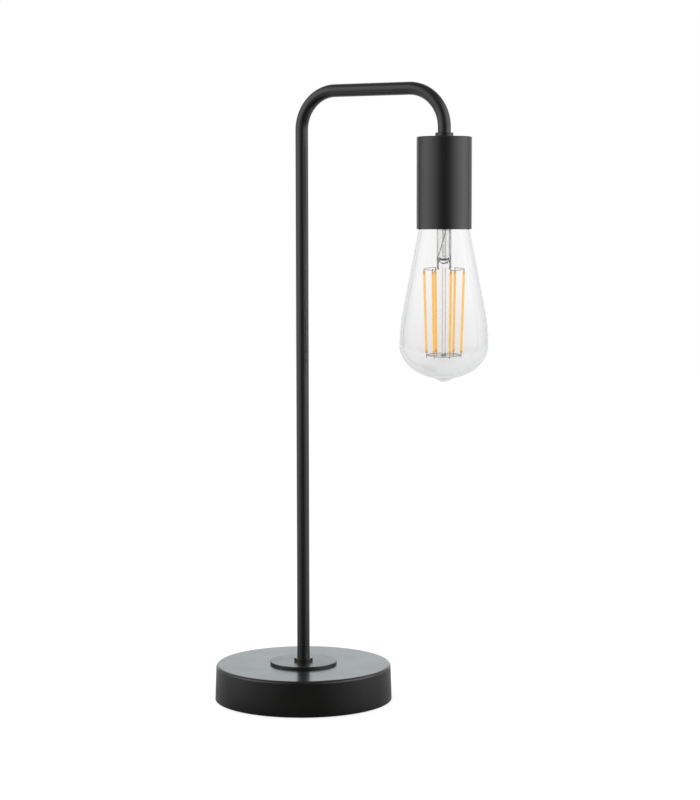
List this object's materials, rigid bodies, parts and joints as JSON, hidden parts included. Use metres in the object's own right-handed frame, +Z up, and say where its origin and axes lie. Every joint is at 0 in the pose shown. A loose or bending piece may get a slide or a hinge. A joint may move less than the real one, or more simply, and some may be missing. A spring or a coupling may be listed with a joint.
{
  "type": "table lamp",
  "caption": "Table lamp: round weighted base, upright tube bent into a short arm that turns down, metal cup lampholder and clear teardrop filament bulb that unscrews",
  "frame": {"origin": "on the table, at the centre of the base's foam pad, under the post", "axes": "+Z up the post, +X along the arm from the post to the lampholder, +Y to the left of the arm"},
  "size_m": [0.217, 0.1324, 0.4573],
  "materials": {
    "black_powder_coat": "satin black powder coat",
    "eva_foam": "closed-cell EVA foam",
    "cast_iron": "as cast",
    "zinc_plated_steel": "zinc plated",
    "brass": "plain",
    "black_thermoplastic": "moulded, fine matt",
    "natural_polyamide": "moulded polyamide, undyed",
    "steatite": "pressed and fired, unglazed",
    "brown_insulation": "extruded insulation",
    "blue_insulation": "extruded insulation",
    "clear_glass": "clear, blown",
    "nickel_plated_cap": "bright nickel plate",
    "black_cap_glass": "fused black glass",
    "solder": "wiped tin solder",
    "circuit_board": "glass-fibre board",
    "nickel_wire": "drawn nickel wire",
    "filament_phosphor": "yellow phosphor in silicone"
  },
  "bodies": {
    "lamp": {"base_pad": "eva_foam", "base_weight": "cast_iron", "base_cover": "black_powder_coat", "base_washer": "zinc_plated_steel", "base_nut": "zinc_plated_steel", "cord_inlet_bush": "black_thermoplastic", "terminal_block": "natural_polyamide", "block_tubes": "brass", "block_screws": "zinc_plated_steel", "block_fixing_screw": "zinc_plated_steel", "flange_plate": "black_powder_coat", "foot_ring": "black_powder_coat", "stem_tube": "black_powder_coat", "wire_live": "brown_insulation", "wire_neutral": "blue_insulation", "cup_ring": "black_powder_coat", "lamp_cup": "black_powder_coat", "cup_washer": "zinc_plated_steel", "cup_nut": "zinc_plated_steel", "holder_dome": "black_thermoplastic", "holder_grub_screw": "zinc_plated_steel", "holder_body": "black_thermoplastic", "thread_sleeve": "brass", "holder_insert": "steatite", "centre_contact": "brass", "side_contact": "brass", "holder_terminal_screws": "zinc_plated_steel"},
    "bulb_centre": {"bulb_contact": "solder"},
    "bulb": {"bulb_glass": "clear_glass", "bulb_cap": "nickel_plated_cap", "bulb_insulator": "black_cap_glass", "bulb_driver": "circuit_board", "bulb_mount": "clear_glass", "lead_straight": "nickel_wire", "lead_crossed": "nickel_wire", "upper_frame_left": "nickel_wire", "upper_frame_right": "nickel_wire", "lower_frame": "nickel_wire", "filament_1": "filament_phosphor", "filament_2": "filament_phosphor", "filament_3": "filament_phosphor", "filament_4": "filament_phosphor", "filament_5": "filament_phosphor", "filament_6": "filament_phosphor"}
  },
  "joints": [
    {"name": "bulb_travel", "type": "slide", "parent": "lamp", "child": "bulb_centre", "axis": [0, 0, -1], "range_m": [0, 0.01633]},
    {"name": "bulb_turn", "type": "hinge", "parent": "bulb_centre", "child": "bulb", "pos_m": [0.117, 0, 0.385], "axis": [0, 0, -1], "range_deg": [0, 1620]}
  ],
  "couplings": [
    {"joint": "bulb_travel", "follows": "bulb_turn", "m_per_rad": 0.0005775}
  ]
}
